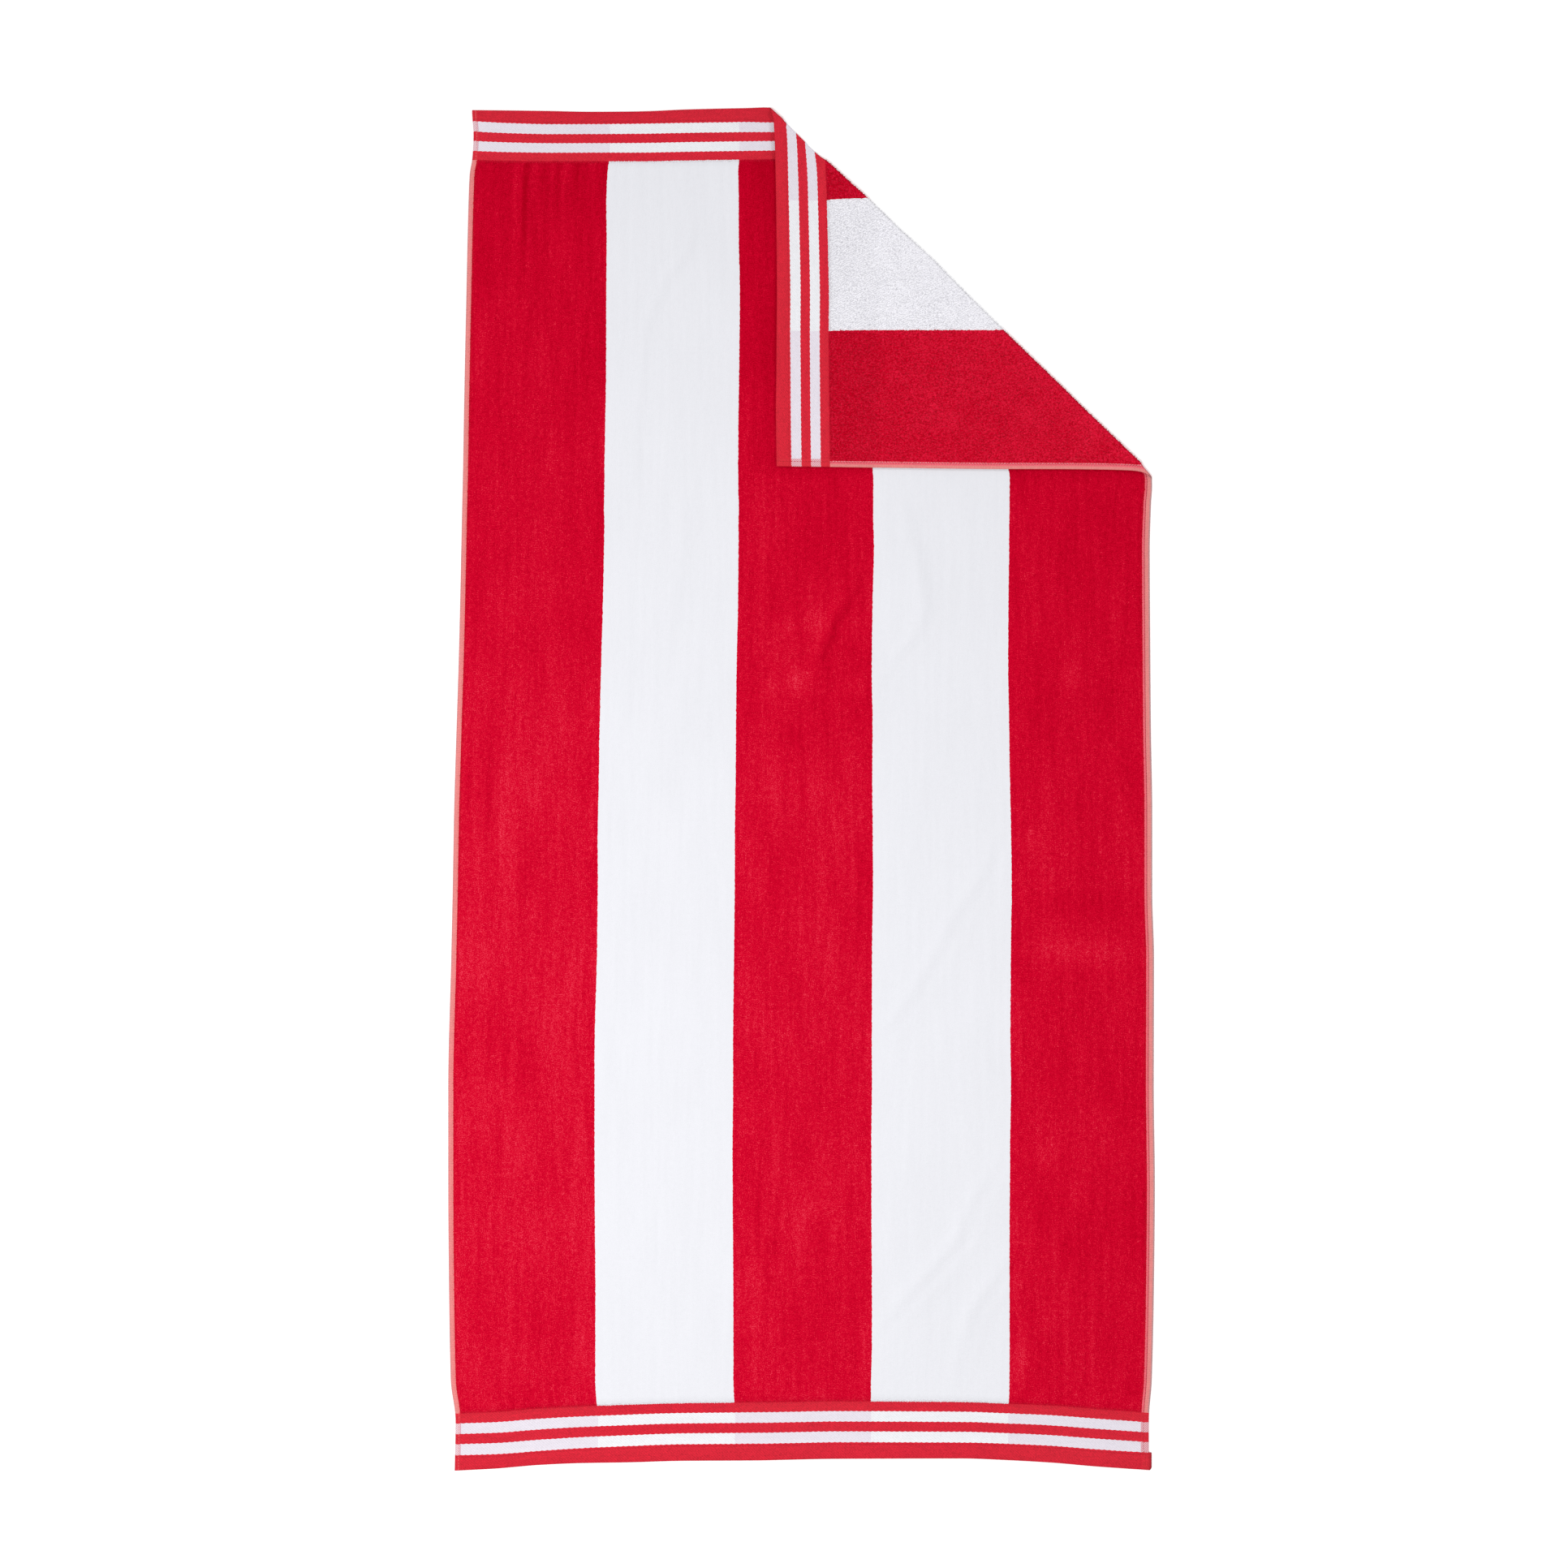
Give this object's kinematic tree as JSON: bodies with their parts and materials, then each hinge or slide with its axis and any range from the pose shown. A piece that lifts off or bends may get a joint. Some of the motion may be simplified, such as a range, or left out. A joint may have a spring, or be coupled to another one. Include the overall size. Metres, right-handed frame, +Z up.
{
  "type": "beach towel",
  "caption": "Striped terry beach towel with woven borders, laid flat with its top right corner folded back over the face.",
  "frame": {"origin": "on the surface the towel lies on, under the middle of its box", "axes": "+Y along the towel towards the end with the folded corner, +X across it towards that corner's side, +Z up from the surface"},
  "size_m": [0.7874, 1.5194, 0.0068],
  "materials": {
    "terry_cotton": "matt cotton terry, sheared velour on the face and loops on the reverse, red and white stripes"
  },
  "bodies": {
    "root": {"towel": "terry_cotton"}
  },
  "joints": []
}
